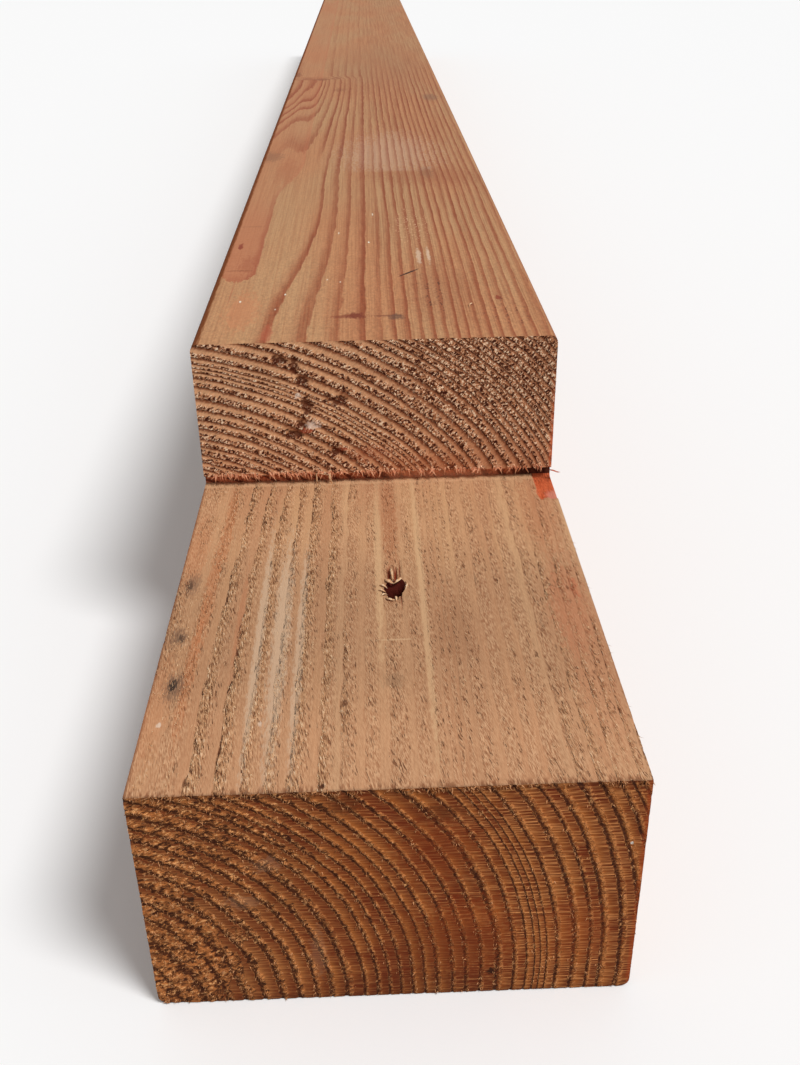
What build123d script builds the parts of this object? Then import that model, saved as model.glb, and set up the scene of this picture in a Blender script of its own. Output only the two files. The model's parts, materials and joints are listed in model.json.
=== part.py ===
"""Carport post: one piece of planed Douglas fir, square in section, with a notch cut in its upper end.

The post lies on its back face with the notch upwards. X is across the post, Y runs from the
notched end to the foot, and Z is up. The origin is on the back face, midway along the post.
Lengths are in millimetres.
"""

import os

from build123d import *

# The planed stock
post_side = 145.0
post_length = 2500.0
arris_radius = 3.0

# The notch that takes the beam: a cross cut makes the shoulder, a rip cut makes the floor
notch_depth = 62.0
notch_length = 188.0

# The rip saw runs on a little past the shoulder and leaves its kerf in the corner
kerf_height = 4.5
kerf_overrun = 3.5

# The bolt hole, drilled through the tongue for the beam's bolt
bolt_hole_diameter = 8.0
bolt_hole_from_end = 102.0
bolt_hole_off_centre = 4.0

# The splinter that split off the floor's edge beside the shoulder
chip_width = 8.0
chip_length = 20.0
chip_depth = 1.2
chip_corner_radius = 2.5

# Clearance that lets a cutter run out past a face
cutter_clearance = 1.0

# Places worked out from the sizes
top_z = post_side
floor_z = post_side - notch_depth
side_x = post_side / 2
end_y = -post_length / 2
shoulder_y = end_y + notch_length
kerf_end_y = shoulder_y + kerf_overrun


def stock():
    """The planed length of timber, with all four long edges eased."""
    section = Plane.XZ * Pos(0, post_side / 2) * RectangleRounded(
        post_side, post_side, arris_radius
    )
    return extrude(section, amount=post_length / 2, both=True)


def notch_cut():
    """What the two saw cuts take out, drawn from the side and run right across the post."""
    outside_y = end_y - cutter_clearance
    above_z = top_z + cutter_clearance
    outline = Polyline(
        (outside_y, floor_z),
        (kerf_end_y, floor_z),
        (kerf_end_y, floor_z + kerf_height),
        (shoulder_y, floor_z + kerf_height),
        (shoulder_y, above_z),
        (outside_y, above_z),
        close=True,
    )
    side_view = Plane.YZ * make_face(outline)
    return extrude(side_view, amount=side_x + cutter_clearance, both=True)


def bolt_hole():
    """The drilled hole, through the tongue from its back face to the floor."""
    drill_length = floor_z + 2 * cutter_clearance
    centre = (bolt_hole_off_centre, end_y + bolt_hole_from_end, floor_z / 2)
    return Pos(*centre) * Cylinder(bolt_hole_diameter / 2, drill_length)


def chip():
    """The shallow scar where a splinter came away with the saw, open to the side and the kerf."""
    scar_width = chip_width + cutter_clearance
    scar_length = chip_length + kerf_overrun
    low_z = floor_z - chip_depth
    outline = Pos(side_x - chip_width, shoulder_y - chip_length) * Rectangle(
        scar_width, scar_length, align=(Align.MIN, Align.MIN)
    )
    inner_corner = outline.vertices().sort_by(Axis.Y)[:2].sort_by(Axis.X)[0]
    scar = fillet(inner_corner, chip_corner_radius)
    return Pos(0, 0, low_z) * extrude(scar, amount=chip_depth + kerf_height / 2)


def carport_post():
    """The whole post, as one solid."""
    return stock() - notch_cut() - bolt_hole() - chip()


os.makedirs("parts", exist_ok=True)
export_step(carport_post(), "parts/carport_post.step")
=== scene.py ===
"""The look of a carport post: one planed fir post lying down, its upper end notched to take a beam."""

import json
import math
from functools import cached_property

import bmesh
import bpy
from mathutils import Matrix, Vector
from mathutils.geometry import delaunay_2d_cdt


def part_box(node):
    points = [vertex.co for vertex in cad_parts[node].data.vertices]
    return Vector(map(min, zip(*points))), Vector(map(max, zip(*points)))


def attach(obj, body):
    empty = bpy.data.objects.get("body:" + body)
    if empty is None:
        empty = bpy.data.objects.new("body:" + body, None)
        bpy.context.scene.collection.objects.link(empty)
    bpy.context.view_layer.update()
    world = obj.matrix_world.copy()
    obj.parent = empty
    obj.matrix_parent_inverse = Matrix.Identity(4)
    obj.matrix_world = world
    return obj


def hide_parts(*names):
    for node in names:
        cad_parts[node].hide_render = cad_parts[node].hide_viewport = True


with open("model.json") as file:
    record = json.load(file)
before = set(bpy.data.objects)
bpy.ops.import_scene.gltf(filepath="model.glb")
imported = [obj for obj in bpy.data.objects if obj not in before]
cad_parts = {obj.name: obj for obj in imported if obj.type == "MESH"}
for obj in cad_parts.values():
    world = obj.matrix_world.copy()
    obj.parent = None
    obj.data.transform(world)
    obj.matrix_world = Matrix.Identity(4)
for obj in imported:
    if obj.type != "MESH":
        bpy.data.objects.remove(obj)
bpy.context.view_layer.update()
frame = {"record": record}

# The post: one length of fir, sawn square and planed, with the notch for the beam cut in its upper
# end. It is one closed skin laid patch by patch. The sawn faces have a fine mesh that the saw's
# relief is cut into, and the planed faces are flat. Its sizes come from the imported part, in metres.
post_low, post_high = (Vector(corner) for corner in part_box("carport_post"))
mounts = {mount["name"]: mount for mount in frame["record"]["mounts"]}
side = post_high.x - post_low.x
half_side = side / 2
end_y = post_low.y
foot_y = post_high.y
floor_z = mounts["notch_floor"]["pos_m"][2]
shoulder_y = mounts["notch_shoulder"]["pos_m"][1]
arris = 0.003
kerf_height = 0.0045
kerf_overrun = 0.0035
kerf_top_z = floor_z + kerf_height
kerf_end_y = shoulder_y + kerf_overrun
fine_step = 0.00066
floor_step = 0.0014
shoulder_step = 0.00080
kerf_depth_step = 0.0007
kerf_height_step = 0.0009
foot_step = 0.0030
long_step = 0.050
arris_facets = 5
edge_zone = 0.006


class Skin:
    """A mesh in the making, whose patches share the points where they meet."""

    def __init__(self):
        self.points = {}
        self.faces = []
        self.patches = []
        self.patch_names = {}

    def point(self, place):
        return self.points.setdefault(tuple(round(part, 7) for part in place), len(self.points))

    def face(self, patch, *places):
        """One face of a patch, less the corners that fall together."""
        corners = list(dict.fromkeys(self.point(place) for place in places))
        if len(corners) > 2:
            self.faces.append(corners)
            self.patches.append(self.patch_names.setdefault(patch, len(self.patch_names)))

    def grid(self, patch, rows, skipped=lambda a, c: False):
        """Quads between rows of as many points each."""
        for row, next_row in zip(rows, rows[1:]):
            for i in range(len(row) - 1):
                if not skipped(row[i], next_row[i + 1]):
                    self.face(patch, row[i], row[i + 1], next_row[i + 1], next_row[i])

    def flat(self, patch, outline, flatten, holes=(), inner=()):
        """Triangles in a flat outline, clear of its holes, through the inner points."""
        places, edges = [], []
        for loop in (outline, *holes):
            first = len(places)
            places += loop
            edges += [(first + i, first + (i + 1) % len(loop)) for i in range(len(loop))]
        places += inner
        flattened = [Vector(flatten(place)) for place in places]
        _, _, triangles, made_from, _, _ = delaunay_2d_cdt(flattened, edges, [], 1, 1e-8)
        for triangle in triangles:
            corners = [made_from[corner][0] for corner in triangle]
            middle = sum((flattened[corner] for corner in corners), Vector((0, 0))) / 3
            if not any(encloses([flatten(place) for place in hole], middle) for hole in holes):
                self.face(patch, *(places[corner] for corner in corners))


def encloses(loop, point):
    """Whether a loop of flat points goes round a point."""
    inside = False
    for (ax, ay), (bx, by) in zip(loop, loop[1:] + loop[:1]):
        if (ay > point.y) != (by > point.y):
            if point.x < (bx - ax) * (point.y - ay) / (by - ay) + ax:
                inside = not inside
    return inside


def spread(low, high, step):
    """Evenly spaced values from low to high, about a step apart."""
    count = max(1, round((high - low) / step))
    return [low + (high - low) * i / count for i in range(count + 1)]


def half_width(z):
    """Half the section's width at a height, less what the eased arrises take."""
    into_arris = max(arris - min(z, side - z), 0)
    return half_side - arris + math.sqrt(max(arris**2 - into_arris**2, 0))


def across(x, z):
    """Where a column of the mesh is at a height: it closes in only next to the arrises."""
    inner = half_side - edge_zone
    beyond = abs(x) - inner
    if beyond <= 0:
        return x
    return math.copysign(inner + beyond * (half_width(z) - inner) / edge_zone, x)


def row_at(columns, y, z):
    return [(across(x, z), y, z) for x in columns]


low_arris = [arris * (1 - math.cos(math.pi / 2 * i / arris_facets)) for i in range(arris_facets + 1)]
high_arris = [side - height for height in low_arris]
columns = spread(-half_side, half_side, fine_step)
foot_columns = spread(-half_side, half_side, foot_step)
end_heights = low_arris[:-1] + spread(arris, floor_z, fine_step)
shoulder_heights = spread(kerf_top_z, side - arris, shoulder_step)[:-1] + high_arris[::-1]
foot_heights = low_arris[:-1] + spread(arris, side - arris, foot_step)[:-1] + high_arris[::-1]
floor_lengths = spread(end_y, shoulder_y, floor_step)
kerf_lengths = spread(shoulder_y, kerf_end_y, kerf_depth_step)
kerf_heights = spread(floor_z, kerf_top_z, kerf_height_step)
floor_and_kerf = floor_lengths + kerf_lengths[1:]
low_lengths = spread(end_y, foot_y, long_step)
high_lengths = spread(shoulder_y, foot_y, long_step)

skin = Skin()
skin.grid("tongue end", [row_at(columns, end_y, z) for z in end_heights])
skin.grid("shoulder", [row_at(columns, shoulder_y, z) for z in shoulder_heights])
skin.grid("foot end", [row_at(foot_columns, foot_y, z) for z in foot_heights])


# The bolt hole. It is drilled through the tongue, and its mouth is torn: pieces of the lip have come
# away along the grain, so the opening is longer than the drill is wide. The mouth is given by turns
# in degrees and reaches in millimetres.
hole_x, hole_y, _ = mounts["bolt_hole"]["pos_m"]
hole_radius = mounts["bolt_hole"]["dims"]["r_mm"] / 1000
hole_zone = 0.0105
hole_sides = 48
torn_depth = 0.004
mouth_turns = (26, 60, 74, 82, 97, 107, 122, 155, 194, 218, 234, 253, 269, 283, 298, 323, 352, 386)
mouth_reaches = (4.4, 7.3, 8.8, 7.3, 8.3, 6.6, 4.7, 3.6, 4.2, 4.9, 4.0, 5.2, 5.6, 3.7, 4.5, 3.5, 3.7, 4.4)
mouth_reach = list(zip(mouth_turns, mouth_reaches))


def hole_ring(depth):
    """One ring of the hole's wall, torn open at the mouth and round from a few millimetres down."""
    torn = max(0, 1 - depth / torn_depth) ** 1.5
    ring = []
    for i in range(hole_sides):
        turn = mouth_turns[0] + 360 * (i + 0.5) / hole_sides
        before, after = next((a, b) for a, b in zip(mouth_reach, mouth_reach[1:]) if turn <= b[0])
        mouth = before[1] + (after[1] - before[1]) * (turn - before[0]) / (after[0] - before[0])
        reach = hole_radius + torn * (mouth / 1000 - hole_radius)
        angle = math.radians(turn)
        ring.append((hole_x + reach * math.cos(angle), hole_y + reach * math.sin(angle), floor_z - depth))
    return ring


def in_zone(low, high, middle):
    return abs((low + high) / 2 - middle) < hole_zone


def by_hole(a, c):
    """Whether a quad of the floor is in the square that is meshed round the hole."""
    return in_zone(a[0], c[0], hole_x) and in_zone(a[1], c[1], hole_y)


def zone_limits(values, middle):
    """Which of a list of values are the limits of the square round the hole."""
    inside = [i for i in range(len(values) - 1) if in_zone(values[i], values[i + 1], middle)]
    return inside[0], inside[-1] + 1


floor_rows = [row_at(columns, y, floor_z) for y in floor_and_kerf]
left, right = zone_limits(columns, hole_x)
near, far = zone_limits(floor_lengths, hole_y)
square = (
    [floor_rows[near][i] for i in range(left, right)]
    + [floor_rows[i][right] for i in range(near, far)]
    + [floor_rows[far][i] for i in range(right, left, -1)]
    + [floor_rows[i][left] for i in range(far, near, -1)]
)
skin.grid("notch floor", floor_rows, by_hole)
mouth = hole_ring(0)
lip_rings = [
    (hole_x + (x - hole_x) * grow, hole_y + (y - hole_y) * grow, z)
    for grow in (1.10, 1.22)
    for x, y, z in mouth
    if abs(y - hole_y) * grow < hole_zone * 0.9
]
skin.flat("notch floor", square, lambda place: place[:2], [mouth], lip_rings)
hole_depths = [0, 0.0006, 0.0014, 0.0026, 0.004, 0.008, 0.016, 0.032, 0.056, floor_z]
skin.grid("bolt hole", [ring + ring[:1] for ring in map(hole_ring, hole_depths)])

# The kerf. The rip saw ran a few millimetres past the shoulder, so a slot as high as the blade is
# thick goes in under it, with a sawn back and a rough roof.
skin.grid("kerf back", [row_at(columns, kerf_end_y, z) for z in kerf_heights])
skin.grid("kerf roof", [row_at(columns, y, kerf_top_z) for y in kerf_lengths])

# The planed faces, flat from end to end, with eased arrises between them. Next to a sawn face they
# have a row of inner points, so that their triangles start no finer than its mesh.
inner_gap = 0.0022
arrises = (("low arris", low_lengths, low_arris), ("high arris", high_lengths, high_arris))
for name, lengths, heights in arrises:
    for hand in (-1, 1):
        skin.grid(name, [[(hand * half_width(z), y, z) for z in heights] for y in lengths])
back_half = half_width(0)
for name, z, lengths, front_y, holes in (
    ("back face", 0, low_lengths, end_y, [hole_ring(floor_z)]),
    ("front face", side, high_lengths, shoulder_y, []),
):
    outline = (
        row_at(columns, front_y, z)
        + [(back_half, y, z) for y in lengths[1:-1]]
        + row_at(foot_columns, foot_y, z)[::-1]
        + [(-back_half, y, z) for y in lengths[-2:0:-1]]
    )
    inner = [(x, front_y + inner_gap, z) for x in columns[6:-6:2]]
    skin.flat(name, outline, lambda place: place[:2], holes, inner)
inner = (
    [(end_y + inner_gap, z) for z in end_heights[8:-3:2]]
    + [(y, floor_z - inner_gap) for y in floor_and_kerf[2:-1]]
    + [(kerf_end_y + inner_gap, z) for z in shoulder_heights[:-10:2]]
)
outline = (
    [(end_y, z) for z in reversed(end_heights) if z >= arris]
    + [(y, arris) for y in low_lengths[1:-1]]
    + [(foot_y, z) for z in foot_heights if arris <= z <= side - arris]
    + [(y, side - arris) for y in high_lengths[-2:0:-1]]
    + [(shoulder_y, z) for z in reversed(shoulder_heights) if z <= side - arris]
    + [(y, kerf_top_z) for y in kerf_lengths[1:-1]]
    + [(kerf_end_y, z) for z in reversed(kerf_heights)]
    + [(y, floor_z) for y in reversed(floor_and_kerf[1:-1])]
)
for hand in (-1, 1):
    at_side = [[(hand * half_side, *point) for point in points] for points in (outline, inner)]
    skin.flat("side face", at_side[0], lambda place: place[1:], (), at_side[1])

post_mesh = bpy.data.meshes.new("post")
post_mesh.from_pydata(list(skin.points), [], skin.faces)
shape = bmesh.new()
shape.from_mesh(post_mesh)
patch_of = shape.faces.layers.int.new("patch")
for face, patch in zip(shape.faces, skin.patches):
    face[patch_of] = patch
    face.smooth = True
bmesh.ops.recalc_face_normals(shape, faces=shape.faces)
for edge in shape.edges:
    edge.smooth = len({face[patch_of] for face in edge.link_faces}) == 1
shape.to_mesh(post_mesh)
shape.free()


def placed(name, data):
    """A new object in the scene, where its data has it."""
    piece = bpy.data.objects.new(name, data)
    bpy.context.scene.collection.objects.link(piece)
    return piece


post = placed("post", post_mesh)


# The wood. The whole post comes from one side of a fir log: the pith lies outside it, beyond the
# lower left edge, and the growth rings run through every face. They are worked out from a place in
# the post in millimetres, once for the meshes and the finishes alike.
end_mm = end_y * 1000
shoulder_mm = shoulder_y * 1000
floor_mm = floor_z * 1000
mark_depth = 30
cut_mark_depth = 200


def at(from_left, from_shoulder, z_mm):
    """A place in millimetres: so far in from the left side, and so far from the shoulder to the foot."""
    return (from_left - half_side * 1000, shoulder_mm + from_shoulder, z_mm)


def tone(red, green, blue):
    """A colour as it looks, 0 to 255, turned into light as the shaders want it."""
    looks = [part / 255 for part in (red, green, blue)]
    return (*(part / 12.92 if part <= 0.04045 else ((part + 0.055) / 1.055) ** 2.4 for part in looks), 1.0)


def sum_of(operation, reflected=False):
    """A Python operator that adds a maths node, with the socket first or, reflected, last."""

    def add_node(socket, other):
        terms = (other, socket) if reflected else (socket, other)
        return socket.workings.maths(operation, *terms)

    return add_node


class Socket:
    """A socket of a node tree that sums can be written with."""

    __add__ = sum_of("ADD")
    __radd__ = sum_of("ADD", reflected=True)
    __sub__ = sum_of("SUBTRACT")
    __rsub__ = sum_of("SUBTRACT", reflected=True)
    __mul__ = sum_of("MULTIPLY")
    __rmul__ = sum_of("MULTIPLY", reflected=True)
    __truediv__ = sum_of("DIVIDE")

    def __init__(self, workings, link):
        self.workings = workings
        self.link = link


class Workings:
    """A node tree, written as sums and as calls that each add one node."""

    def __init__(self, tree):
        self.tree = tree

    def node(self, kind, settings=None, inputs=None):
        """Adds a node: its settings first, then the values or links of its inputs, by name or place."""
        made = self.tree.nodes.new(kind)
        for setting, value in (settings or {}).items():
            if setting == "curve":
                for point in value:
                    made.mapping.curves[0].points.new(*point)
                made.mapping.update()
            else:
                setattr(made, setting, value)
        for name, value in (inputs or {}).items():
            if isinstance(value, Socket):
                self.tree.links.new(value.link, made.inputs[name])
            else:
                made.inputs[name].default_value = value
        return made

    def use(self, kind, settings=None, inputs=None, output=0):
        """Adds a node and gives one of its outputs."""
        return Socket(self, self.node(kind, settings, inputs).outputs[output])

    def maths(self, operation, *terms):
        return self.use("ShaderNodeMath", {"operation": operation}, dict(enumerate(terms)))

    def vectors(self, operation, *terms):
        return self.use("ShaderNodeVectorMath", {"operation": operation}, dict(enumerate(terms)))

    def scaled(self, vector, factor):
        return self.use("ShaderNodeVectorMath", {"operation": "SCALE"}, {0: vector, "Scale": factor})

    def parts(self, vector):
        """The three parts of a vector."""
        split = self.node("ShaderNodeSeparateXYZ", inputs={0: vector})
        return [Socket(self, output) for output in split.outputs]

    def joined(self, x, y, z):
        return self.use("ShaderNodeCombineXYZ", None, {0: x, 1: y, 2: z})

    @cached_property
    def here(self):
        """The place in the post, in millimetres, that the others start from where no place is given."""
        if self.tree.type == "SHADER":
            return self.scaled(self.use("ShaderNodeTexCoord", output="Object"), 1000.0)
        return self.scaled(self.use("GeometryNodeInputPosition"), 1000.0)

    @cached_property
    def xyz(self):
        return self.parts(self.here)

    @cached_property
    def rings(self):
        return Rings(self)

    def rise(self, value, low, high):
        """0 up to low, 1 from high on, and smooth between. With low above high it falls instead."""
        inputs = {"Value": value, "From Min": low, "From Max": high}
        return self.use("ShaderNodeMapRange", {"interpolation_type": "SMOOTHSTEP"}, inputs)

    def band(self, value, low, full_low, full_high, high):
        """1 from full_low to full_high, and down to 0 at low and at high."""
        return self.rise(value, low, full_low) * self.rise(value, high, full_high)

    def grain(self, stretch, seed, detail=2.0, roughness=0.5, place=None):
        """Noise from 0 to 1 whose lumps are about stretch = (x, y, z) millimetres long."""
        shift = (seed * 7.31, seed * 3.17, seed * 5.93)
        place = place or self.here
        fine = self.vectors("MULTIPLY_ADD", place, [1 / length for length in stretch], shift)
        inputs = {"Vector": fine, "Scale": 1.0, "Detail": detail, "Roughness": roughness}
        return self.use("ShaderNodeTexNoise", {"noise_dimensions": "3D"}, inputs)

    def chance(self, number, seed):
        """A random number from 0 to 1, the same wherever number is the same."""
        return self.use("ShaderNodeTexWhiteNoise", {"noise_dimensions": "1D"}, {"W": number + seed * 0.37})

    def blend(self, factor, first, second):
        """A colour between two colours. Three numbers are a colour as it looks, and four are its light."""
        first, second = (tone(*c) if isinstance(c, tuple) and len(c) == 3 else c for c in (first, second))
        return self.use("ShaderNodeMix", {"data_type": "RGBA"}, {0: factor, 6: first, 7: second}, 2)

    def layered(self, colour, *layers):
        """A colour with others laid over it in turn, each with how much of it shows."""
        for shown, over in layers:
            colour = self.blend(shown, colour, over)
        return colour

    def spot(self, centre, reach, edge, ragged=0.9, place=None):
        """A patch: 1 round its centre, 0 past its reach in x, y and z in millimetres, frayed by edge."""
        from_centre = self.vectors("DIVIDE", self.vectors("SUBTRACT", place or self.here, centre), reach)
        distance = self.use("ShaderNodeVectorMath", {"operation": "LENGTH"}, {0: from_centre}, 1)
        return self.rise(distance + (edge - 0.5) * (ragged * 2), 1.0, 0.45)

    def marked(self, colour, edge, marks, level=None, cut=None, ragged=0.9):
        """A colour with frayed marks on it, on a face at one level or on a cut across the post.

        Each mark is its place from the left side, its place from the shoulder or its height, how
        far it goes each way across and along or up, its colour and its strength.
        """
        for left, along, wide, tall, mark, strength in marks:
            centre, reach = at(left, along, level), (wide, tall, mark_depth)
            if cut is not None:
                centre, reach = at(left, cut - shoulder_mm, along), (wide, cut_mark_depth, tall)
            colour = self.blend(self.spot(centre, reach, edge, ragged) * strength, colour, mark)
        return colour


pith_x = -150.0
pith_z = -32.0
out_of_round = 0.092
rings_at_radius = (
    (70, 0), (130, 10.9), (165, 20.1), (183.2, 24.1), (191.2, 27.75), (200, 29.72),
    (206, 31.0), (215.4, 33.0), (219.7, 34.0), (233, 39.1), (256, 47.9), (300, 63),
)
first_radius = rings_at_radius[0][0]
grown_radius = rings_at_radius[-1][0] - first_radius
grown_rings = rings_at_radius[-1][1]


class Rings:
    """The growth rings at a place: how far from the pith, which way, and how many rings out."""

    def __init__(self, w):
        x, y, z = w.xyz
        sway = (w.grain((160, 900, 160), 1, 1.0) - 0.5) * 4.0
        ripple = (w.grain((26, 170, 26), 2, 1.0) - 0.5) * 1.6
        drift = w.rise(y, end_mm, end_mm + 430) * w.rise(x, 10.0, -70.0) * -5.0
        lean = w.rise(x, -46.0, -60.0) * 1.6 - w.band(x, -58.0, -38.0, -36.0, 0.0) * 4.7
        lean = lean * w.rise(y, shoulder_mm, shoulder_mm + 250)
        beside_knot = w.band(y, shoulder_mm + 300, shoulder_mm + 760, shoulder_mm + 776, shoulder_mm + 806)
        lean = lean - beside_knot * w.rise(x, 10.0, -70.0) * 15.0
        across = x - pith_x
        up = z - pith_z
        self.y = y
        self.angle = w.maths("ARCTAN2", up, across)
        flattened = 1 - w.maths("SINE", self.angle * 3) * out_of_round
        self.radius = w.maths("SQRT", across * across + up * up) * flattened + sway + ripple + drift + lean
        curve = [((r - first_radius) / grown_radius, n / grown_rings) for r, n in rings_at_radius[1:-1]]
        share = (self.radius - first_radius) / grown_radius
        growth = w.use("ShaderNodeFloatCurve", {"curve": curve}, {"Value": share}) * grown_rings
        lean_years = (w.grain((9, 1, 1), 3, 1.0, place=w.joined(self.radius, 0.0, 0.0)) - 0.5) * 0.7
        self.count = growth + lean_years

    def out_and_along(self, w, middle_angle):
        """The place as (out from the pith, along the post, along the ring), in millimetres."""
        return w.joined(self.radius, self.y, (self.angle - middle_angle) * self.radius)


# The saw cuts across the grain: the tongue's end and the shoulder. Soft spring wood tears out in
# crumbs and leaves a groove where each ring begins, and the hard autumn wood is cut smooth, with
# the saw's fine level lines on it.
tooth_pitch = 1.25


class CrossCut:
    """What the saw left on end grain at a place. torn_share is how much of each ring is torn."""

    def __init__(self, w, torn_share, line_share, speck_size, middle_angle, seed):
        _, _, z = w.xyz
        ring_place = w.rings.out_and_along(w, middle_angle)
        teeth = w.grain((2.4, 12, 0.9), seed, 2.0, place=ring_place)
        count = w.rings.count + (teeth - 0.5) * (torn_share * 0.5 + 0.10)
        long, wide = speck_size
        self.year = w.maths("FLOOR", count)
        self.season = w.maths("FRACT", count)
        self.clumps = w.grain((wide * 3.2, 8, wide * 2.4), seed + 2, 2.0, place=ring_place)
        self.line = w.band(self.season, -0.03, line_share * 0.25, line_share * 0.6, line_share)
        self.line = self.line * w.rise(self.clumps, 0.28, 0.50)
        self.ridge = w.band(self.season, *(line_share * part for part in (0.8, 1.1, 1.4, 1.9)))
        self.specks = w.grain((long, 6, wide), seed + 1, 2.0, 0.6, ring_place)
        self.ridge = self.ridge * w.rise(self.specks, 0.40, 0.58)
        self.torn = w.rise(self.season + (self.clumps - 0.5) * 0.5, torn_share + 0.07, torn_share - 0.07)
        self.rays = w.grain((9, 60, 0.34), seed + 6, 1.0, place=ring_place)
        waver = w.grain((60, 500, 9), seed + 3, 1.0)
        tooth = w.maths("SINE", z * (math.tau / tooth_pitch) + waver * 34)
        pressed = w.grain((8, 100, 2.0), seed + 5, 2.0) + w.chance(self.year, seed) * 0.15
        uneven = w.rise(pressed, 0.40, 0.75)
        fine = w.rise(w.grain((9, 500, 0.34), seed + 4, 1.0), 0.46, 0.68)
        self.saw_lines = w.rise(tooth, 0.35, 1.0) * uneven * 0.7 + fine * 0.5
        # This marks where the hollows between the saw's lines lie; the end's colour darkens them as painted
        # shade.
        self.shaded_saw_hollows = w.rise(tooth, -0.1, -0.9) * uneven


def tongue_end_cut(w):
    """The tongue's end: hardly torn at the lower right, and all crumbs at the lower left corner."""
    x, _, z = w.xyz
    left = w.rise(x, 10.0, -60.0)
    high = w.rise(z, 20.0, 75.0)
    fray = w.grain((9, 100, 9), 4, 2.0)
    corner = w.spot((-70, end_mm, 10), (29, cut_mark_depth, 38), fray)
    share = 0.20 + left * (0.30 + high * 0.36) + corner * 0.8
    line = 0.25 + w.rise(w.rings.radius, 190, 230) * 0.10 + left * 0.06
    return CrossCut(w, share, line, (1.15, 0.75), 0.55, 10)


def shoulder_cut(w):
    """The shoulder: torn over half of each ring, more at the upper right, less at the lower right.

    The list is of the places where whole pieces have broken out of it, with their reach each way.
    """
    x, _, z = w.xyz
    right = w.rise(x, -14.0, 30.0)
    high = w.rise(z, 92.0, 125.0)
    share = 0.58 + right * (high * 0.24 - 0.06) - (1 - right) * high * 0.12
    line = 0.09 + w.rise(w.rings.radius, 190, 230) * 0.07
    cut = CrossCut(w, share, line, (1.0, 0.58), 0.85, 20)
    cut.broken = 0
    for from_left, height, wide, tall in (
        (34, 137.6, 3.6, 2.6),
        (40, 135, 2.4, 4.5),
        (43, 128.5, 3.6, 3.2),
        (44.5, 118, 3.0, 5.5),
        (42, 109.5, 3.2, 3.2),
        (38, 105.5, 5.2, 2.8),
        (56, 97.3, 4.8, 2.4),
        (57, 119.5, 5.5, 3.0),
    ):
        reach = (wide, cut_mark_depth, tall)
        cut.broken = w.spot(at(from_left, 0, height), reach, cut.clumps) + cut.broken
    return cut


# The ripped floor of the notch: the saw ran along the grain, so the hard bands are sawn smooth
# and pale, and the soft wood at the start of each ring is lifted in short fibres, most at the left.
class RipCut:
    """What the saw left on the notch's floor at a place."""

    def __init__(self, w):
        x, y, z = w.xyz
        from_shoulder = shoulder_mm - y
        slanted = w.joined(x + y * 0.20, y, z)
        rough_edge = w.grain((1.6, 14, 30), 31, 3.0)
        count = w.rings.count + (rough_edge - 0.5) * 0.56
        self.season = w.maths("FRACT", count)
        self.year = w.maths("FLOOR", count)
        self.left = w.band(x, -62.0, -57.0, -26.0, -4.0)
        self.right = w.rise(x, 44.0, 62.0) * w.rise(from_shoulder, 20.0, 60.0)
        self.patches = w.grain((6, 26, 30), 32, 2.0)
        worn = w.rise(self.left * 0.72 + self.right * 0.40 + self.patches, 0.60, 1.0)
        at_left_edge = w.rise(x, -59.0, -62.0) * 0.45
        self.torn = w.band(self.season, -0.06, 0.02, 0.22, 0.60) * worn
        self.torn = self.torn + at_left_edge * w.rise(self.patches, 0.38, 0.52)
        self.soft = w.band(self.season, -0.10, 0.10, 0.35, 0.95) * (0.5 + w.chance(self.year, 3) * 0.5)
        self.strokes = w.grain((0.36, 2.9, 20), 33, 2.0, place=slanted)
        self.hatch = w.grain((0.28, 2.2, 20), 34, 2.0, place=slanted)
        dashes = w.rise(w.grain((0.5, 3.6, 20), 35, 1.0, place=slanted), 0.62, 0.72)
        self.pits = dashes * w.rise(self.soft + self.right * 0.3, 0.2, 0.6) * w.rise(self.patches, 0.35, 0.6)
        nicks = w.rise(w.grain((0.7, 4, 30), 37, 2.0), 0.52, 0.62) * w.rise(self.patches, 0.40, 0.55)
        self.nicks = w.band(self.season, -0.06, -0.01, 0.09, 0.17) * nicks * (self.left + self.right * 0.8)
        ragged = w.grain((1.6, 4, 20), 36, 3.0)
        self.chip = w.rise(x + ragged * 2.4, 65.6, 66.8) * w.rise(from_shoulder + ragged * 7, 23.5, 20.5)
        slots = w.band(x + ragged, 2.2, 2.8, 3.4, 4.0) + w.band(x + ragged, 4.6, 5.1, 5.7, 6.2)
        crack = w.band(x + ragged * 0.8, 6.5, 6.9, 7.0, 7.3) * w.band(from_shoulder, 62.0, 72.0, 90.0, 100.0)
        self.slots = slots * w.band(from_shoulder, 68.0, 73.0, 90.0, 92.0) + crack * 0.8


# The relief that the saws left, cut into the skin's points. Cross cuts move along the post, and
# the ripped floor moves up and down, so every edge between two faces is ragged as both are.
def new_tree(name, numbers):
    """A tree of geometry nodes that takes a mesh and numbers: its workings, values and input sockets."""
    tree = bpy.data.node_groups.new(name, "GeometryNodeTree")
    tree.interface.new_socket("Geometry", socket_type="NodeSocketGeometry")
    values = {}
    for label, value in numbers.items():
        kind = "NodeSocketInt" if isinstance(value, int) else "NodeSocketFloat"
        values[tree.interface.new_socket(label, socket_type=kind).identifier] = value
    tree.interface.new_socket("Geometry", in_out="OUTPUT", socket_type="NodeSocketGeometry")
    w = Workings(tree)
    given = w.node("NodeGroupInput")
    return w, values, [Socket(w, given.outputs[i]) for i in range(len(numbers) + 1)]


def grown(piece, tree, values):
    """Runs a tree of geometry nodes on a piece, with its values by socket, and keeps the plain mesh."""
    growing = piece.modifiers.new(tree.name, "NODES")
    growing.node_group = tree
    for socket, value in values.items():
        growing[socket] = value
    bpy.context.view_layer.update()
    whole = piece.evaluated_get(bpy.context.evaluated_depsgraph_get())
    mesh = bpy.data.meshes.new_from_object(whole)
    piece.modifiers.remove(growing)
    piece.data = mesh


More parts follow.
